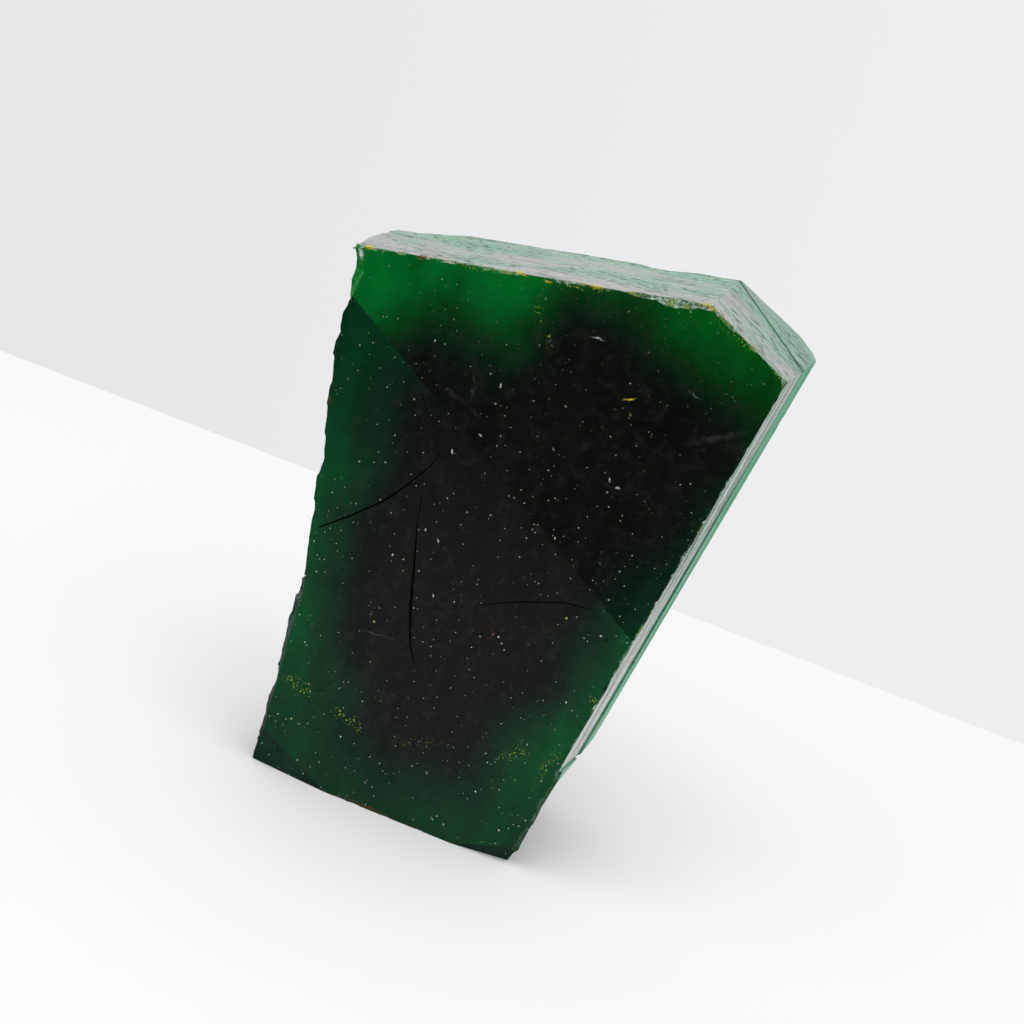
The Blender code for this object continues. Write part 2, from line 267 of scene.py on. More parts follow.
# A second line of points just inside each sawn edge keeps the nicks narrow.
for name in FRONTS + SAWN_SIDES:
    cut_at = ways[name] * (heights[name] - CRUSH_REACH) * MM
    bmesh.ops.bisect_plane(bm, geom=bm.verts[:] + bm.edges[:] + bm.faces[:], dist=1e-7, plane_co=cut_at,
                           plane_no=ways[name])
bmesh.ops.triangulate(bm, faces=[f for f in bm.faces if len(f.verts) > 3])


def edge_depth(at):
    """How far a point on a flat is from the nearest edge of the polished front, in mm."""
    under_front = min(heights[name] - at.dot(ways[name]) / MM for name in FRONTS)
    under_side = min(heights[name] - at.dot(ways[name]) / MM for name in SAWN_SIDES)
    return max(under_front, under_side)


for attempt in range(12):
    long_edges = []
    for edge in bm.edges:
        kinds = [face[zone] for face in edge.link_faces]
        wanted = min(EDGE_LENGTHS[kind] for kind in kinds)
        if POLISHED in kinds and SAWN in kinds:
            wanted = CRUSH_STEP
        if edge.calc_length() > 1.35 * wanted * MM:
            long_edges.append(edge)
    if not long_edges:
        break
    bmesh.ops.subdivide_edges(bm, edges=long_edges, cuts=1)
    bmesh.ops.triangulate(bm, faces=[f for f in bm.faces if len(f.verts) > 3])


FLAKE_SIZE = 3.1            # mm across one shell-like flake of a break
FLAKE_TILT = 0.24           # rise of a flake's face along its length


def hackle(at):
    """How deep a broken face is at a point, in mm: tilted flakes with steps between, and grain."""
    middle = noise.voronoi(at / FLAKE_SIZE)[1][0] * FLAKE_SIZE
    tilt = FLAKE_TILT * (at - middle).dot(noise.noise_vector(middle * 2.3))
    return 0.14 + tilt + 0.10 * abs(noise.noise(at / 2.6)) + 0.04 * noise.noise(at / 0.8)


def nick(at):
    """How deep a crushed edge is at a point, in mm: small knocks, with bare lengths between."""
    return 0.01 + 0.28 * max(noise.noise(at / 1.1) + 0.4 * noise.noise(at / 3.7) - 0.18, 0.0)


crushed = bm.verts.layers.float.new("crushed")
bm.normal_update()
moves = []
for vert in bm.verts:
    kinds = {face[zone] for face in vert.link_faces}
    if CRACK in kinds:
        continue
    if BROKEN not in kinds:
        if POLISHED in kinds and SAWN in kinds and edge_depth(vert.co) < 0.02:
            inward = -sum((face.normal for face in vert.link_faces), Vector()).normalized()
            moves.append((vert, inward * min(nick(vert.co / MM), 0.18) * MM, 1.0))
        continue
    move = -vert.normal * max(hackle(vert.co / MM), 0.0) * MM
    kept = []
    for face in vert.link_faces:
        if face[zone] != BROKEN and not any(abs(face.normal.dot(n)) > 0.999 for n in kept):
            kept.append(face.normal.copy())
    if len(kept) == 1:
        move -= kept[0] * move.dot(kept[0])
    elif len(kept) == 2:
        line = kept[0].cross(kept[1]).normalized()
        move = line * move.dot(line)
    elif len(kept) > 2:
        continue
    moves.append((vert, move, 0.0))
for vert, move, is_nick in moves:
    vert.co += move
    vert[crushed] = is_nick * min(max((move.length / MM - 0.05) / 0.10, 0.0), 1.0)


# Where the body of the stone is clear and so nearly black, seen from the front, in mm across and up. Outside this
# outline it is clouded, and the green light that comes back out is painted into its colour.
DARK_HEART = [(-0.8, 53.1), (1.0, 57.6), (4.5, 58.4), (9.6, 55.3), (14.8, 54.0), (20.0, 53.0), (21.4, 50.3),
              (18.6, 47.0), (18.0, 43.0), (15.7, 39.0), (12.4, 35.8), (11.0, 28.4), (10.4, 21.8), (8.3, 18.8),
              (5.7, 15.1), (3.6, 10.1), (-0.4, 9.8), (-4.8, 11.2), (-8.0, 16.2), (-10.4, 19.5), (-11.7, 25.7),
              (-12.6, 30.3), (-11.2, 37.2), (-11.7, 43.8), (-5.4, 47.9), (-3.3, 50.1)]
PAINTED_GLOW_REACH = 9.5        # mm from the heart to where the clouded rim is at its brightest


def heart_distance(x, z):
    """Distance outside the dark heart, in mm. Inside it is negative."""
    inside = False
    nearest = 1e9
    for (ax, az), (bx, bz) in zip(DARK_HEART, DARK_HEART[1:] + DARK_HEART[:1]):
        run, rise = bx - ax, bz - az
        share = min(max(((x - ax) * run + (z - az) * rise) / (run * run + rise * rise), 0.0), 1.0)
        nearest = min(nearest, math.hypot(x - ax - share * run, z - az - share * rise))
        if (az > z) != (bz > z) and x < ax + (z - az) / rise * run:
            inside = not inside
    return -nearest if inside else nearest


def smooth(value, low, high):
    share = min(max((value - low) / (high - low), 0.0), 1.0)
    return share * share * (3.0 - 2.0 * share)


def blend(one, two, share):
    return tuple(a + (b - a) * share for a, b in zip(one, two))


# Colours of the light that comes back out of the clouded rim, painted into the front's colour as a glow.
HEART_GREY = linear("2E322D")
LEAF = linear("009438")
DEEP_LEAF = linear("007B24")
MOSS = linear("004C28")
TEAL = linear("00763E")
DEEP_TEAL = linear("00512C")
# Faces of the front that look down: a dull dark green that lets little through, painted shade.
SHADED_TOE_GREEN = linear("1C3A2C")
HEART_CLEAR, RIM_CLEAR, TOE_CLEAR = 0.8, 0.5, 0.15
# How far cracks are filled with near-black, and how far the step walls are painted dark: painted shade on the steps.
CRACK_DARK, STEP_SHADE = 0.85, 0.3


def painted_rim_colour(x, z, is_upper):
    if is_upper:
        return blend(MOSS, blend(LEAF, DEEP_LEAF, smooth(x, -14.0, 12.0)), smooth(z, 38.0, 50.0))
    return blend(blend(DEEP_TEAL, TEAL, smooth(z, 5.0, 18.0)), MOSS, smooth(z, 31.0, 45.0))


def painted_glow_amount(at, is_upper):
    """How clouded the stone is under a point of the front, from 0 in the heart to 1, and so how much painted green glow
    it gets.
    """
    wander = 1.2 * noise.noise(at / 4.5) + 0.5 * noise.noise(at / 1.6)
    amount = smooth(heart_distance(at.x, at.z) + wander, -0.5, PAINTED_GLOW_REACH)
    if is_upper:
        falling = smooth(at.z + 0.9 * max(-at.x - 15.0, 0.0) + wander, 45.0, 61.0) ** 2
        amount *= falling + (1.0 - falling) * smooth(at.x, -9.0, -3.0)
    return amount


# Broken faces, from the wet-looking deep green to the paler step round each flake.
BREAK_DEEP = linear("0B2A1E")
BREAK_GREEN = linear("1C6242")
BREAK_PALE = linear("7FB598")
# The bright green of the chip at the top left corner is painted light shining through it.
BREAK_PAINTED_LIGHT = linear("008A34")
BREAK_CLEAR, LIT_CLEAR = 0.35, 0.05


def broken_tint(at):
    """Colour and clearness of a broken face at a point: each flake has its own depth of green."""
    bent = at + noise.noise_vector(at / 2.8) * 1.3
    (near, next_near), (middle, other) = (part[:2] for part in noise.voronoi(bent / FLAKE_SIZE))
    depth = 0.5 + 0.22 * noise.noise(middle * 9.1) + 0.7 * noise.noise(at / 8.0) + 0.3 * noise.noise(at / 1.6)
    tint = blend(BREAK_DEEP, BREAK_GREEN, smooth(depth, 0.1, 1.0))
    step = (1.0 - smooth(next_near - near, 0.0, 0.10)) * smooth(noise.noise(at / 4.5), 0.05, 0.40)
    tint = blend(tint, BREAK_PALE, 0.45 * step)
    behind = min(heights[name] - at.dot(ways[name]) for name in FRONTS)
    behind += 2.0 * noise.noise(at / 2.5)
    # Near the top left corner, just behind the front, the break is painted bright green and less clear: painted light.
    lit = smooth(at.z, 48.0, 53.0) * smooth(-at.x, 19.0, 22.0) * (1.0 - smooth(behind, 1.0, 5.0))
    return blend(tint, BREAK_PAINTED_LIGHT, lit)[:3] + (BREAK_CLEAR + (LIT_CLEAR - BREAK_CLEAR) * lit,)


bm.to_mesh(mesh)
bm.free()
surface = mesh.attributes.new("surface", "FLOAT_COLOR", "CORNER")
# Per corner, in colour: the front's painted glow, the tint of the breaks, and painted shade on faces that look down; in
# alpha, how clear it is.
tint_and_painted_light = mesh.attributes.new("tint_and_painted_light", "FLOAT_COLOR", "CORNER")
zones = mesh.attributes["zone"].data
uppers = mesh.attributes["upper"].data
known = {}
for poly in mesh.polygons:
    kind = zones[poly.index].value
    value = (float(kind == SAWN), {FLANGE: 1.0, STEP: 0.7}.get(kind, 0.0), float(kind == BROKEN),
             {CRACK: CRACK_DARK, STEP: STEP_SHADE}.get(kind, 0.0))
    is_upper = bool(uppers[poly.index].value)
    poly.use_smooth = kind == BROKEN
    for loop in poly.loop_indices:
        surface.data[loop].color = value
        index = mesh.loops[loop].vertex_index
        if kind == BROKEN:
            if (index, BROKEN) not in known:
                known[index, BROKEN] = broken_tint(mesh.vertices[index].co / MM)
            tint_and_painted_light.data[loop].color = known[index, BROKEN]
            continue
        if kind != POLISHED:
            tint_and_painted_light.data[loop].color = SHADED_TOE_GREEN[:3] + (TOE_CLEAR,)
            continue
        # Polished faces that look down get the painted shade of the toes.
        if poly.normal.z < 0.0:
            tint_and_painted_light.data[loop].color = SHADED_TOE_GREEN[:3] + (TOE_CLEAR,)
            continue
        if (index, is_upper) not in known:
            at = mesh.vertices[index].co / MM
            amount = painted_glow_amount(at, is_upper)
            # Grey in the heart, and the painted green glow of the clouded rim.
            tint = blend(HEART_GREY, painted_rim_colour(at.x, at.z, is_upper), amount)
            red = HEART_GREY[0] * (1.0 - math.sqrt(amount))
            known[index, is_upper] = (red, tint[1], tint[2]) + (HEART_CLEAR + (RIM_CLEAR - HEART_CLEAR) * amount,)
        tint_and_painted_light.data[loop].color = known[index, is_upper]

# Emerald is green beryl, a clear glassy mineral clouded by fine cracks and grains.
# Lapping leaves it glossy and deep, the saw leaves it frosted and pale with lengthwise
# lines, and a break leaves it wet-looking with small shell-like steps.
emerald = empty_material("emerald beryl")
tree = emerald.node_tree
MATHS, VECTORS, MIX = "ShaderNodeMath", "ShaderNodeVectorMath", "ShaderNodeMixRGB"
RANGE, NOISE, CELLS = "ShaderNodeMapRange", "ShaderNodeTexNoise", "ShaderNodeTexVoronoi"

zones = node(tree, "ShaderNodeAttribute", {"attribute_name": "surface"})
zone_parts = node(tree, "ShaderNodeSeparateColor", i0=zones.outputs["Color"])
sawn, flange, broken = zone_parts.outputs[:3]
crack_and_step_shade = zones.outputs["Alpha"]
tint_and_painted_light_parts = node(tree, "ShaderNodeAttribute", {"attribute_name": "tint_and_painted_light"})
see_through = tint_and_painted_light_parts.outputs["Alpha"]
nicked = node(tree, "ShaderNodeAttribute", {"attribute_name": "crushed"}).outputs["Fac"]
frosted = node(tree, MATHS, {"operation": "ADD"}, i0=sawn, i1=flange).outputs[0]
unpolished = node(tree, MATHS, {"operation": "ADD"}, i0=frosted, i1=broken).outputs[0]
unpolished = node(tree, MATHS, {"operation": "ADD", "use_clamp": True}, i0=unpolished, i1=crack_and_step_shade).outputs[0]
polished = node(tree, MATHS, {"operation": "SUBTRACT", "use_clamp": True}, i0=1.0, i1=unpolished).outputs[0]

place = node(tree, "ShaderNodeTexCoord").outputs["Object"]
place_mm = node(tree, VECTORS, {"operation": "SCALE"}, i0=place, Scale=1 / MM).outputs[0]
across_up = node(tree, "ShaderNodeSeparateXYZ", i0=place_mm)

# Depth under the polished front and under the sawn sides, for the crushed edges.
depths = {}
for name in FRONTS + SAWN_SIDES:
    along_way = node(tree, VECTORS, {"operation": "DOT_PRODUCT"}, i0=place_mm, i1=tuple(ways[name]))
    depths[name] = node(tree, MATHS, {"operation": "SUBTRACT"}, i0=heights[name], i1=along_way.outputs["Value"])
under_front = node(tree, MATHS, {"operation": "MINIMUM"}, i0=depths["lower front"].outputs[0],
                   i1=depths["upper front"].outputs[0]).outputs[0]
under_side = node(tree, MATHS, {"operation": "MINIMUM"}, i0=depths["top"].outputs[0],
                  i1=depths["shoulder"].outputs[0]).outputs[0]
under_side = node(tree, MATHS, {"operation": "MINIMUM"}, i0=under_side, i1=depths["side"].outputs[0]).outputs[0]
from_edge = node(tree, MATHS, {"operation": "MAXIMUM"}, i0=under_front, i1=under_side).outputs[0]

# Colour of the polished front: the painted green glow, in uneven upright bands and small clouds.
BAND_WIDTH, BAND_LENGTH = 5.0, 22.0         # mm
CLOUD_SIZE = 1.3                            # mm
band_place = node(tree, "ShaderNodeMapping", {"vector_type": "POINT"}, i0=place_mm,
                  Scale=(1 / BAND_WIDTH, 1 / BAND_WIDTH, 1 / BAND_LENGTH)).outputs[0]
bands = node(tree, NOISE, i0=band_place, Scale=1.0, Detail=2.0, Roughness=0.6).outputs["Fac"]
clouds = node(tree, NOISE, i0=place_mm, Scale=1 / CLOUD_SIZE, Detail=3.0, Roughness=0.6).outputs["Fac"]
band_gain = node(tree, RANGE, Value=bands, From_Min=0.3, From_Max=0.7, To_Min=0.72, To_Max=1.28).outputs[0]
cloud_gain = node(tree, RANGE, Value=clouds, From_Min=0.3, From_Max=0.7, To_Min=0.85, To_Max=1.15).outputs[0]
gain = node(tree, MATHS, {"operation": "MULTIPLY"}, i0=band_gain, i1=cloud_gain).outputs[0]
front_colour = node(tree, VECTORS, {"operation": "SCALE"}, i0=tint_and_painted_light_parts.outputs["Color"], Scale=gain).outputs[0]
# A breath of grey smudges and fine dust, which shows on the dark heart.
SMUDGE_SIZE = 1.6                           # mm
smudges = node(tree, NOISE, i0=place_mm, Scale=1 / SMUDGE_SIZE, Detail=4.0, Roughness=0.75).outputs["Fac"]
smudged = node(tree, RANGE, Value=smudges, From_Min=0.50, From_Max=0.75, To_Min=0.0, To_Max=0.7).outputs[0]
in_heart = node(tree, RANGE, Value=see_through, From_Min=0.6, From_Max=0.8, To_Min=0.1, To_Max=1.0).outputs[0]
smudged = node(tree, MATHS, {"operation": "MULTIPLY"}, i0=smudged, i1=in_heart).outputs[0]
front_colour = node(tree, MIX, i0=smudged, i1=front_colour, i2=linear("5A6058")).outputs[0]

# Colour of the frosted faces: lilac-grey saw flour near the front, and mint further in, bare stone with painted light
# from the thin edge at the back in it, in streaks along the way that the saw ran. Real saw lines are finer: these are
# drawn as coarse as they need to be to show on faces seen at a slant.
LINE_WIDTH, LINE_LENGTH = 0.85, 8.0         # mm
DASH_WIDTH, DASH_LENGTH = 0.36, 1.2         # mm
PATCH_WIDTH, PATCH_LENGTH = 4.0, 11.0       # mm
facing = node(tree, "ShaderNodeNewGeometry").outputs["True Normal"]
upward = node(tree, "ShaderNodeSeparateXYZ", i0=facing).outputs["Z"]
saw_way = node(tree, VECTORS, {"operation": "CROSS_PRODUCT"}, i0=facing, i1=tuple(ways["lower front"])).outputs[0]
saw_way = node(tree, VECTORS, {"operation": "NORMALIZE"}, i0=saw_way).outputs[0]
saw_side = node(tree, VECTORS, {"operation": "CROSS_PRODUCT"}, i0=facing, i1=saw_way).outputs[0]
run = node(tree, VECTORS, {"operation": "DOT_PRODUCT"}, i0=place_mm, i1=saw_way).outputs["Value"]
rise = node(tree, VECTORS, {"operation": "DOT_PRODUCT"}, i0=place_mm, i1=saw_side).outputs["Value"]
# On the upright side the marks run on about four times as far.
shorten = node(tree, RANGE, Value=upward, From_Min=0.0, From_Max=0.6, To_Min=0.22, To_Max=1.0).outputs[0]
run = node(tree, MATHS, {"operation": "MULTIPLY"}, i0=run, i1=shorten).outputs[0]
saw_place = node(tree, "ShaderNodeCombineXYZ", i0=run, i1=rise, i2=upward).outputs[0]
saw_noise = []
for length, width in ((LINE_LENGTH, LINE_WIDTH), (DASH_LENGTH, DASH_WIDTH), (PATCH_LENGTH, PATCH_WIDTH)):
    stretched = node(tree, VECTORS, {"operation": "MULTIPLY"}, i0=saw_place, i1=(1 / length, 1 / width, 3.0)).outputs[0]
    saw_noise.append(node(tree, NOISE, i0=stretched, Scale=1.0, Detail=2.0, Roughness=0.65).outputs["Fac"])
lines, dashes, patches_along = saw_noise
inward = node(tree, RANGE, Value=under_front, From_Min=1.0, From_Max=17.0, To_Min=-0.08, To_Max=0.40).outputs[0]
# The mint is partly bare stone and partly painted light coming through the thin edge at the back.
mint_share = node(tree, MATHS, {"operation": "MULTIPLY_ADD"}, i0=patches_along, i1=1.3, i2=inward).outputs[0]
mint_share = node(tree, RANGE, {"interpolation_type": "SMOOTHSTEP"}, Value=mint_share, From_Min=0.52,
                  From_Max=0.92).outputs[0]
sawn_colour = node(tree, MIX, i0=mint_share, i1=linear("D8DAD8"), i2=linear("AEDCC4")).outputs[0]
# The sawn faces are painted paler in patches towards their lower end: painted light bounced up from the card.
painted_bounce = node(tree, RANGE, Value=across_up.outputs["Z"], From_Min=44.0, From_Max=16.0, To_Min=0.0, To_Max=1.5).outputs[0]
painted_bounce = node(tree, MATHS, {"operation": "MULTIPLY"}, i0=painted_bounce, i1=patches_along).outputs[0]
sawn_colour = node(tree, MIX, i0=painted_bounce, i1=sawn_colour, i2=linear("F6F7F2")).outputs[0]
# The long lines are plainest on the upright side.
line_gain = node(tree, RANGE, Value=upward, From_Min=0.0, From_Max=0.6, To_Min=1.0, To_Max=0.35).outputs[0]
pale_line = node(tree, RANGE, Value=lines, From_Min=0.54, From_Max=0.64, To_Min=0.0, To_Max=0.8).outputs[0]
pale_line = node(tree, MATHS, {"operation": "MULTIPLY"}, i0=pale_line, i1=line_gain).outputs[0]
sawn_colour = node(tree, MIX, i0=pale_line, i1=sawn_colour, i2=linear("F6F7F4")).outputs[0]
dark_line = node(tree, RANGE, Value=lines, From_Min=0.48, From_Max=0.37, To_Min=0.0, To_Max=0.85).outputs[0]
dark_line = node(tree, MATHS, {"operation": "MULTIPLY"}, i0=dark_line, i1=line_gain).outputs[0]
sawn_colour = node(tree, MIX, i0=dark_line, i1=sawn_colour, i2=linear("6C7D72")).outputs[0]
flange_colour = node(tree, MIX, i0=mint_share, i1=linear("ACE8CA"), i2=linear("74CFA0")).outputs[0]
# Where dashes crowd together they are scratches with dark sludge left in them.
crowded = node(tree, RANGE, Value=patches_along, From_Min=0.42, From_Max=0.62, To_Min=0.05, To_Max=-0.04).outputs[0]
dash = node(tree, MATHS, {"operation": "SUBTRACT"}, i0=dashes, i1=crowded).outputs[0]
dash = node(tree, RANGE, Value=dash, From_Min=0.56, From_Max=0.62, To_Min=0.0, To_Max=0.85).outputs[0]
sawn_colour = node(tree, MIX, i0=dash, i1=sawn_colour, i2=linear("66796E")).outputs[0]
half_dash = node(tree, MATHS, {"operation": "MULTIPLY"}, i0=dash, i1=0.5).outputs[0]
flange_colour = node(tree, MIX, i0=half_dash, i1=flange_colour, i2=linear("3F7F60")).outputs[0]
# The faces that look up are darker, by up to a quarter.
darker_facing_up = node(tree, RANGE, Value=upward, From_Min=0.0, From_Max=0.9, To_Min=1.0, To_Max=0.74).outputs[0]
sawn_colour = node(tree, VECTORS, {"operation": "SCALE"}, i0=sawn_colour, Scale=darker_facing_up).outputs[0]
flange_colour = node(tree, VECTORS, {"operation": "SCALE"}, i0=flange_colour, Scale=darker_facing_up).outputs[0]

# Colour of the broken faces: the flakes' own greens, with a few paler sugary grains.
grains = node(tree, NOISE, i0=place_mm, Scale=1 / 0.45, Detail=3.0, Roughness=0.7).outputs["Fac"]
grain_gain = node(tree, RANGE, Value=grains, From_Min=0.3, From_Max=0.7, To_Min=0.6, To_Max=1.4).outputs[0]
broken_colour = node(tree, VECTORS, {"operation": "SCALE"}, i0=tint_and_painted_light_parts.outputs["Color"], Scale=grain_gain).outputs[0]
grainy = node(tree, RANGE, Value=grains, From_Min=0.63, From_Max=0.74, To_Min=0.0, To_Max=0.5).outputs[0]
broken_colour = node(tree, MIX, i0=grainy, i1=broken_colour, i2=linear("8CC4A4")).outputs[0]

colour = node(tree, MIX, i0=broken, i1=front_colour, i2=broken_colour).outputs[0]
colour = node(tree, MIX, i0=sawn, i1=colour, i2=sawn_colour).outputs[0]
colour = node(tree, MIX, i0=flange, i1=colour, i2=flange_colour).outputs[0]

# Crushed edges: white-green flour with olive and ochre dirt in it, wider in places,
# and all over the shallow chips along the top.
patches = node(tree, NOISE, i0=place_mm, Scale=1 / 2.2, Detail=2.0).outputs["Fac"]
ragged = node(tree, NOISE, i0=place_mm, Scale=1 / 0.35, Detail=3.0).outputs["Fac"]
crush_width = node(tree, RANGE, Value=patches, From_Min=0.45, From_Max=0.68, To_Min=-0.06, To_Max=0.28).outputs[0]
crush_width = node(tree, MATHS, {"operation": "MULTIPLY_ADD"}, i0=ragged, i1=0.32, i2=crush_width).outputs[0]
crush_gap = node(tree, MATHS, {"operation": "SUBTRACT"}, i0=crush_width, i1=from_edge).outputs[0]
crush = node(tree, RANGE, Value=crush_gap, From_Min=0.04, From_Max=0.16, To_Min=0.0, To_Max=1.0).outputs[0]
crush = node(tree, MATHS, {"operation": "MAXIMUM"}, i0=crush, i1=nicked).outputs[0]
not_broken = node(tree, MATHS, {"operation": "SUBTRACT", "use_clamp": True}, i0=1.0, i1=broken).outputs[0]
crush = node(tree, MATHS, {"operation": "MULTIPLY"}, i0=crush, i1=not_broken).outputs[0]
top_chip = node(tree, RANGE, Value=across_up.outputs["Z"], From_Min=58.8, From_Max=60.2).outputs[0]
shallow = node(tree, RANGE, Value=under_front, From_Min=2.2, From_Max=1.2).outputs[0]
top_chip = node(tree, MATHS, {"operation": "MULTIPLY"}, i0=top_chip, i1=shallow).outputs[0]
top_chip = node(tree, MATHS, {"operation": "MULTIPLY"}, i0=top_chip, i1=broken).outputs[0]
crush = node(tree, MATHS, {"operation": "MAXIMUM"}, i0=crush, i1=top_chip).outputs[0]
worn_away = node(tree, RANGE, Value=across_up.outputs["Z"], From_Min=13.0, From_Max=17.0, To_Min=0.3,
                 To_Max=1.0).outputs[0]
crush = node(tree, MATHS, {"operation": "MULTIPLY"}, i0=crush, i1=worn_away).outputs[0]
crush_fleck = node(tree, RANGE, Value=ragged, From_Min=0.35, From_Max=0.55, To_Min=0.35, To_Max=1.0).outputs[0]
crush = node(tree, MATHS, {"operation": "MULTIPLY"}, i0=crush, i1=crush_fleck).outputs[0]
mottle = node(tree, NOISE, i0=place_mm, Scale=1 / 0.55, Detail=2.0, Roughness=0.7).outputs["Fac"]
mottled = node(tree, RANGE, Value=mottle, From_Min=0.42, From_Max=0.60).outputs[0]
crush_colour = node(tree, MIX, i0=mottled, i1=linear("4F6F55"), i2=linear("B2CDBB")).outputs[0]
ochre_share = node(tree, RANGE, Value=clouds, From_Min=0.51, From_Max=0.60, To_Min=0.0, To_Max=0.85).outputs[0]
crush_colour = node(tree, MIX, i0=ochre_share, i1=crush_colour, i2=linear("86983A")).outputs[0]
colour = node(tree, MIX, i0=crush, i1=colour, i2=crush_colour).outputs[0]

# Marks, as their two ends across and up in mm, then width in mm and strength.
PALE_MARKS = [
    ((16.1, 50.6), (22.7, 54.6), 0.9, 0.08), ((2.4, 58.3), (4.4, 58.5), 0.18, 0.7),
    ((-11.4, 47.8), (-7.6, 46.7), 0.8, 0.05), ((-7.6, 46.7), (-5.9, 45.9), 0.6, 0.05),
    ((-8.5, 50.3), (-7.5, 48.8), 0.4, 0.08), ((-7.5, 48.8), (-7.6, 47.2), 0.4, 0.07),
    ((-7.7, 41.6), (-7.5, 41.0), 0.26, 1.0), ((-5.1, 50.2), (-4.9, 49.8), 0.24, 1.0),
    ((-5.4, 44.2), (-5.0, 44.0), 0.24, 1.0), ((-5.8, 31.6), (-5.6, 31.3), 0.24, 1.0),
    ((-4.2, 25.7), (-4.0, 25.3), 0.22, 1.0), ((10.0, 44.6), (10.2, 44.3), 0.24, 1.0),
    ((11.1, 43.9), (11.3, 43.9), 0.30, 1.0), ((2.9, 45.6), (3.1, 45.4), 0.22, 1.0),
    ((-11.2, 18.9), (-5.9, 19.3), 0.25, 0.12), ((14.5, 56.5), (16.6, 56.0), 0.22, 0.22),
    ((-25.1, 58.9), (-24.7, 57.9), 0.7, 0.9), ((-16.6, 60.4), (-14.0, 60.9), 0.22, 0.5),
]
YELLOW_MARKS = [
    ((8.3, 53.0), (9.7, 53.9), 0.26, 1.0), ((-7.8, 62.2), (-6.4, 62.2), 0.45, 1.0),
    ((0.4, 63.5), (2.1, 63.7), 0.45, 0.8), ((-4.4, 62.3), (-3.6, 62.5), 0.35, 0.9), ((-24.9, 59.2), (-23.7, 59.4), 0.6, 0.9),
    ((12.8, 66.0), (14.6, 65.5), 0.7, 0.9),
    ((-20.7, 30.3), (-20.5, 29.9), 0.4, 0.7),
]
RUST_MARKS = [
    ((-18.6, 60.1), (-17.9, 60.3), 0.6, 1.0), ((2.9, 24.6), (3.9, 24.0), 0.25, 0.6),
    ((3.9, 24.0), (3.6, 23.1), 0.25, 0.6), ((-7.2, 0.3), (0.8, 0.2), 0.4, 0.4),
    ((-23.7, 43.3), (-22.4, 41.4), 0.6, 0.35),
]
# Clusters of many tiny ochre specks.
OCHRE_CLUSTERS = [
    ((16.4, 21.3), (17.8, 20.7), 1.2, 1.0), ((-16.8, 10.6), (-13.6, 9.8), 2.0, 0.8),
    ((-10.6, 9.3), (-6.7, 8.5), 2.0, 0.9), ((-2.8, 8.2), (2.7, 10.5), 1.6, 0.45),
    ((9.2, 11.0), (12.2, 13.5), 2.2, 0.6), ((13.8, 9.5), (15.4, 15.0), 1.6, 0.5),
    ((23.1, 61.4), (24.9, 60.6), 1.2, 1.0), ((15.0, 64.8), (20.7, 62.8), 1.6, 0.9),
    ((-2.3, 58.5), (-1.3, 55.5), 1.4, 0.5), ((-4.3, 60.5), (-3.3, 57.0), 1.4, 0.5),
    ((-5.0, 62.3), (3.4, 63.6), 0.9, 0.9), ((-15.0, 60.6), (-8.0, 61.8), 0.7, 0.6),
]
DARK_MARKS = [
    ((-17.0, 10.5), (-4.0, 7.1), 1.6, 0.35), ((-18.7, 45.1), (-16.6, 39.4), 0.4, 0.35),
    ((15.2, 28.1), (16.4, 27.7), 1.0, 0.5),
]
MARK_DEPTH = 1.5            # mm that a mark reaches round the front's edges


def front_y(x, z):
    """How far back the front is at a place across and up, in mm."""
    return max((heights[name] - ways[name].x * x - ways[name].z * z) / ways[name].y for name in FRONTS)


jitter = node(tree, NOISE, i0=place_mm, Scale=1 / 0.8, Detail=1.0).outputs["Color"]
jitter = node(tree, VECTORS, {"operation": "MULTIPLY_ADD"}, i0=jitter, i1=(0.5, 0.5, 0.5),
              i2=place_mm).outputs[0]
jitter = node(tree, VECTORS, {"operation": "SUBTRACT"}, i0=jitter, i1=(0.25, 0.25, 0.25)).outputs[0]
marked = 0.0
speckle = node(tree, NOISE, i0=place_mm, Scale=1 / 0.22, Detail=1.0).outputs["Fac"]
speckled = node(tree, RANGE, Value=speckle, From_Min=0.60, From_Max=0.68).outputs[0]
uneven = node(tree, RANGE, Value=ragged, From_Min=0.35, From_Max=0.6, To_Min=0.3, To_Max=1.0).outputs[0]
for marks, tint, breaks in ((DARK_MARKS, "06140C", uneven), (PALE_MARKS, "E8EDE6", uneven),
                            (OCHRE_CLUSTERS, "A2B545", speckled), (RUST_MARKS, "7E3F1E", uneven),
                            (YELLOW_MARKS, "D2BE30", uneven)):
    total = 0.0
    for (x1, z1), (x2, z2), width, strength in marks:
        half_length = math.hypot(x2 - x1, z2 - z1) / 2 + width / 2
        middle_x, middle_z = (x1 + x2) / 2, (z1 + z2) / 2
        spot = node(tree, "ShaderNodeMapping", {"vector_type": "TEXTURE"}, i0=jitter,
                    Location=(middle_x, front_y(middle_x, middle_z), middle_z),
                    Rotation=(0.0, -math.atan2(z2 - z1, x2 - x1), 0.0), Scale=(half_length, MARK_DEPTH, width / 2))
        blob = node(tree, "ShaderNodeTexGradient", {"gradient_type": "SPHERICAL"}, i0=spot.outputs[0])
        total = node(tree, MATHS, {"operation": "MULTIPLY_ADD"}, i0=blob.outputs["Fac"], i1=2.0 * strength,
                     i2=total).outputs[0]
    total = node(tree, MATHS, {"operation": "MINIMUM"}, i0=total, i1=1.0).outputs[0]
    total = node(tree, MATHS, {"operation": "MULTIPLY"}, i0=total, i1=breaks).outputs[0]
    colour = node(tree, MIX, i0=total, i1=colour, i2=linear(tint)).outputs[0]
    marked = node(tree, MATHS, {"operation": "MAXIMUM"}, i0=marked, i1=total).outputs[0]

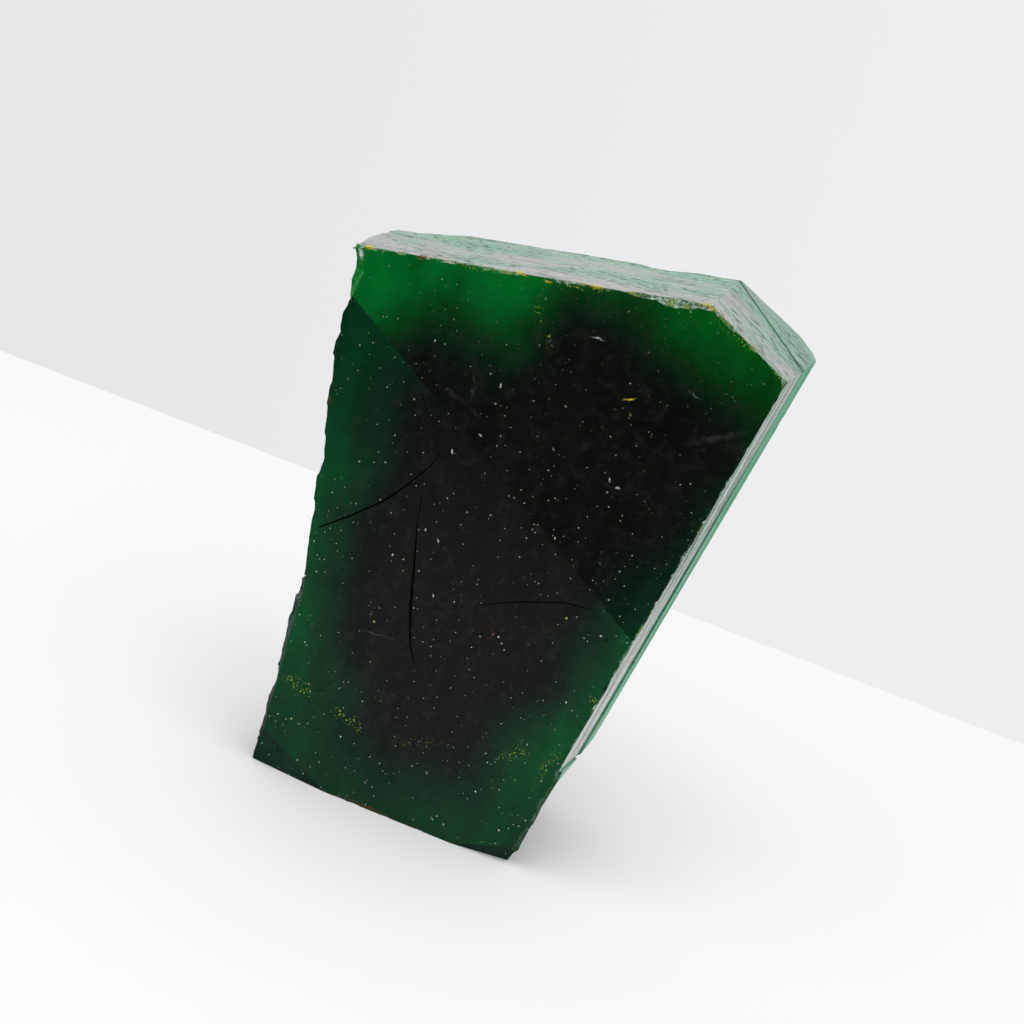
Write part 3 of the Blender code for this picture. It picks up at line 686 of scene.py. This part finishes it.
# Dust and pin-prick pits: white on the polish, dark in the frosted faces.
DUST_SPACING, DUST_KEPT = 0.6, 0.55
DUST_FINE, DUST_COARSE = 0.07, 0.15        # mm from the middle of a speck to its rim
cells = node(tree, CELLS, {"voronoi_dimensions": "3D"}, i0=jitter, Scale=1 / DUST_SPACING)
chance = node(tree, "ShaderNodeSeparateColor", i0=cells.outputs["Color"])
there = node(tree, MATHS, {"operation": "LESS_THAN"}, i0=chance.outputs[0], i1=DUST_KEPT).outputs[0]
rarely_coarse = node(tree, MATHS, {"operation": "POWER"}, i0=chance.outputs[1], i1=6.0).outputs[0]
speck_size = node(tree, RANGE, Value=rarely_coarse, To_Min=DUST_FINE / DUST_SPACING,
                  To_Max=DUST_COARSE / DUST_SPACING).outputs[0]
dusty = node(tree, MATHS, {"operation": "DIVIDE"}, i0=cells.outputs["Distance"], i1=speck_size).outputs[0]
dusty = node(tree, RANGE, Value=dusty, From_Min=1.0, From_Max=0.6).outputs[0]
dusty = node(tree, MATHS, {"operation": "MULTIPLY"}, i0=dusty, i1=there).outputs[0]
dust_strength = node(tree, RANGE, Value=chance.outputs[2], To_Min=0.4, To_Max=1.0).outputs[0]
dusty = node(tree, MATHS, {"operation": "MULTIPLY"}, i0=dusty, i1=dust_strength).outputs[0]
dust_tint = node(tree, RANGE, Value=clouds, From_Min=0.50, From_Max=0.60, To_Min=0.0, To_Max=0.8).outputs[0]
dust_colour = node(tree, MIX, i0=dust_tint, i1=linear("F6F8F4"), i2=linear("B9BE62")).outputs[0]
settled = node(tree, RANGE, Value=across_up.outputs["Z"], From_Min=62.0, From_Max=36.0, To_Min=0.4, To_Max=1.0).outputs[0]
settled = node(tree, MATHS, {"operation": "MULTIPLY"}, i0=settled, i1=polished).outputs[0]
white_dust = node(tree, MATHS, {"operation": "MULTIPLY"}, i0=dusty, i1=settled).outputs[0]
dark_pits = node(tree, MATHS, {"operation": "MULTIPLY"}, i0=dusty, i1=frosted).outputs[0]
colour = node(tree, MIX, i0=white_dust, i1=colour, i2=dust_colour).outputs[0]
colour = node(tree, MIX, i0=dark_pits, i1=colour, i2=linear("34483C")).outputs[0]
# Near-black in the open cracks, and painted shade on the step walls.
colour = node(tree, MIX, i0=crack_and_step_shade, i1=colour, i2=linear("0A120D")).outputs[0]

# How much light goes through: most in the clear heart, half in the clouded rim.
SAWN_CLEAR, FLANGE_CLEAR = 0.15, 0.25
clear = node(tree, MIX, i0=sawn, i1=see_through, i2=(SAWN_CLEAR, SAWN_CLEAR, SAWN_CLEAR, 1.0)).outputs[0]
clear = node(tree, MIX, i0=flange, i1=clear, i2=(FLANGE_CLEAR, FLANGE_CLEAR, FLANGE_CLEAR, 1.0)).outputs[0]
covered = node(tree, MATHS, {"operation": "MAXIMUM"}, i0=crush, i1=marked).outputs[0]
covered = node(tree, MATHS, {"operation": "MAXIMUM"}, i0=covered, i1=white_dust).outputs[0]
covered = node(tree, MATHS, {"operation": "MAXIMUM"}, i0=covered, i1=crack_and_step_shade).outputs[0]
bare = node(tree, MATHS, {"operation": "SUBTRACT", "use_clamp": True}, i0=1.0, i1=covered).outputs[0]
clear = node(tree, MATHS, {"operation": "MULTIPLY"}, i0=clear, i1=bare).outputs[0]
coat = node(tree, MATHS, {"operation": "MULTIPLY_ADD"}, i0=broken, i1=0.55, i2=polished).outputs[0]
coat = node(tree, MATHS, {"operation": "MULTIPLY", "use_clamp": True}, i0=coat, i1=bare).outputs[0]
rough = node(tree, MATHS, {"operation": "MULTIPLY_ADD"}, i0=frosted, i1=0.3, i2=0.3).outputs[0]
rough = node(tree, MATHS, {"operation": "MULTIPLY_ADD", "use_clamp": True}, i0=covered, i1=0.4, i2=rough).outputs[0]

# Relief too fine for the mesh: saw lines and pits, and sugary grain on the breaks.
line_relief = node(tree, MATHS, {"operation": "MULTIPLY"}, i0=dashes, i1=frosted).outputs[0]
grain_relief = node(tree, MATHS, {"operation": "MULTIPLY"}, i0=grains, i1=broken).outputs[0]
relief = node(tree, MATHS, {"operation": "ADD"}, i0=line_relief, i1=grain_relief).outputs[0]
bump = node(tree, "ShaderNodeBump", Strength=0.6, Distance=0.10 * MM, Height=relief)

shader = node(tree, "ShaderNodeBsdfPrincipled", Base_Color=colour, Roughness=rough, IOR=1.58,
              Transmission_Weight=clear, Coat_Weight=coat, Coat_Roughness=0.03, Coat_IOR=1.58,
              Specular_Tint=(0.0, 0.0, 0.0, 1.0), Normal=bump.outputs[0])
absorb = node(tree, "ShaderNodeVolumeAbsorption", Color=(0.0, 0.74, 0.52, 1.0), Density=700.0)
node(tree, "ShaderNodeOutputMaterial", Surface=shader.outputs[0], Volume=absorb.outputs[0])
stone.data.materials.append(emerald)

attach(stone, "root")
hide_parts("emerald_crystal")
